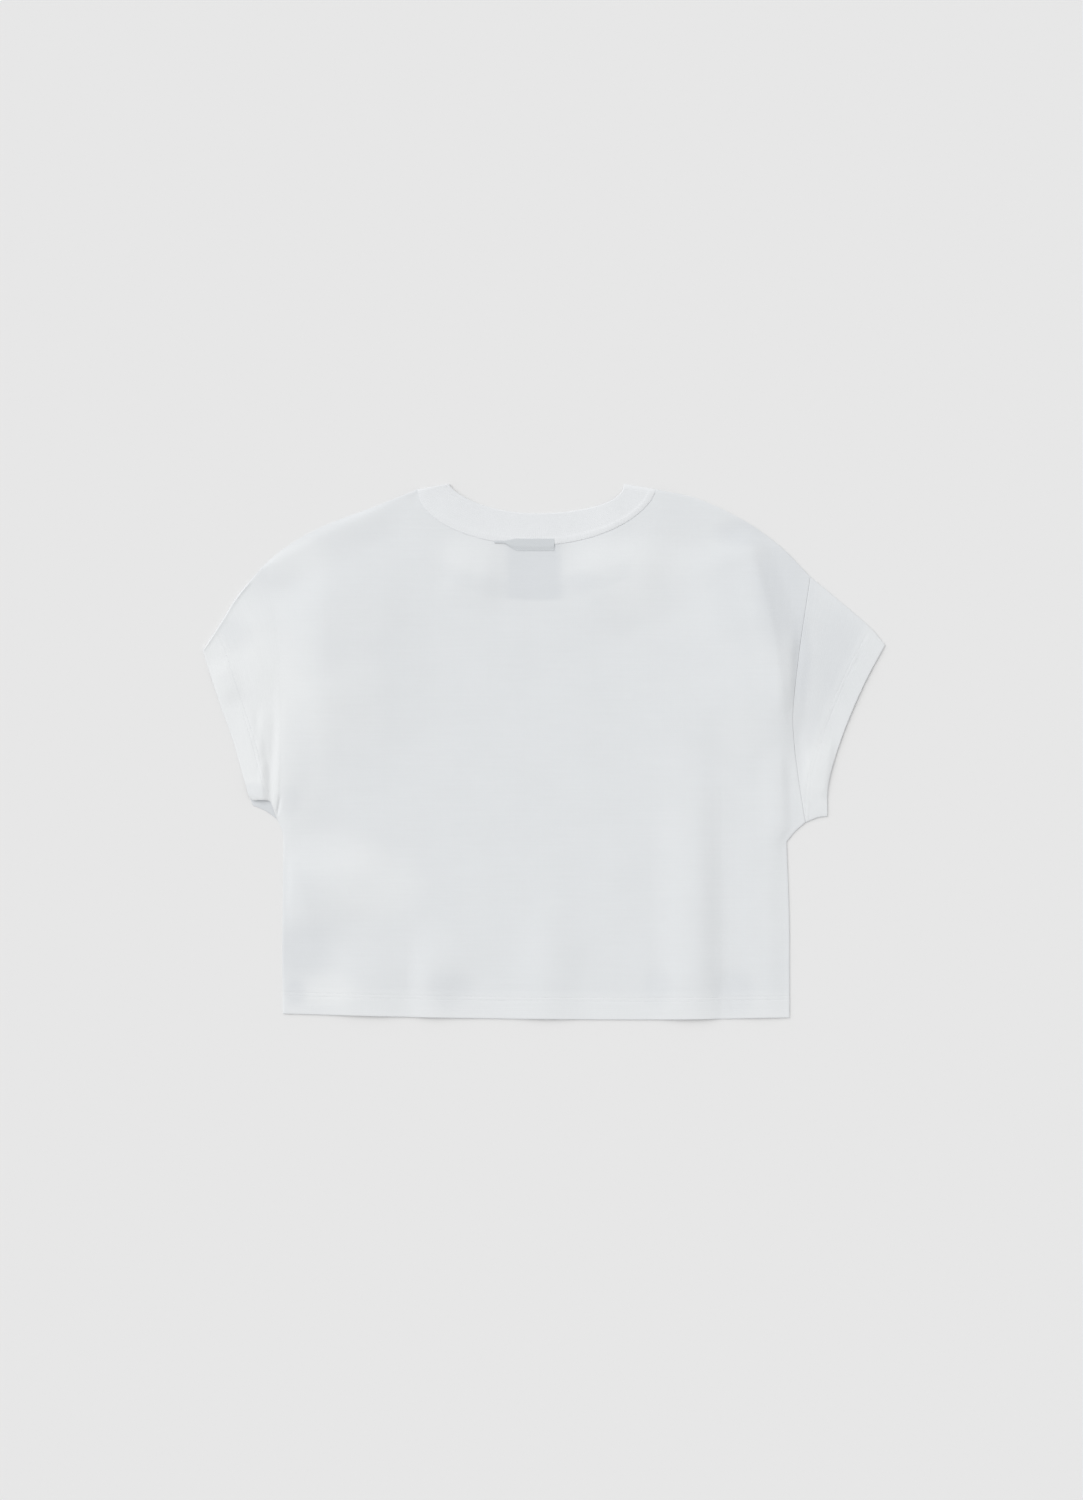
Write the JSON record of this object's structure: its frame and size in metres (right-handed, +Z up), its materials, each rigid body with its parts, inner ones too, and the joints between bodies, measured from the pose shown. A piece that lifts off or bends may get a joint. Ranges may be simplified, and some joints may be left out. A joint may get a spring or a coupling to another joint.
{
  "type": "crop top",
  "caption": "Boxy cropped T-shirt with a rib neckband and short cap sleeves, lying flat with its back up.",
  "frame": {"origin": "the point of the surface it lies on that is under the middle of its plan", "axes": "+X to the right seen from above, across the sleeves; +Y from the hem to the neck; +Z up, out of the surface"},
  "size_m": [0.614, 0.482, 0.0095],
  "materials": {
    "jersey": "white cotton jersey",
    "rib": "white cotton rib knit",
    "label": "plain grey woven tape"
  },
  "bodies": {
    "root": {"back_panel": "jersey", "front_panel": "jersey", "sleeve_left": "jersey", "sleeve_right": "jersey", "neckband": "rib", "neck_label": "label"}
  },
  "joints": []
}
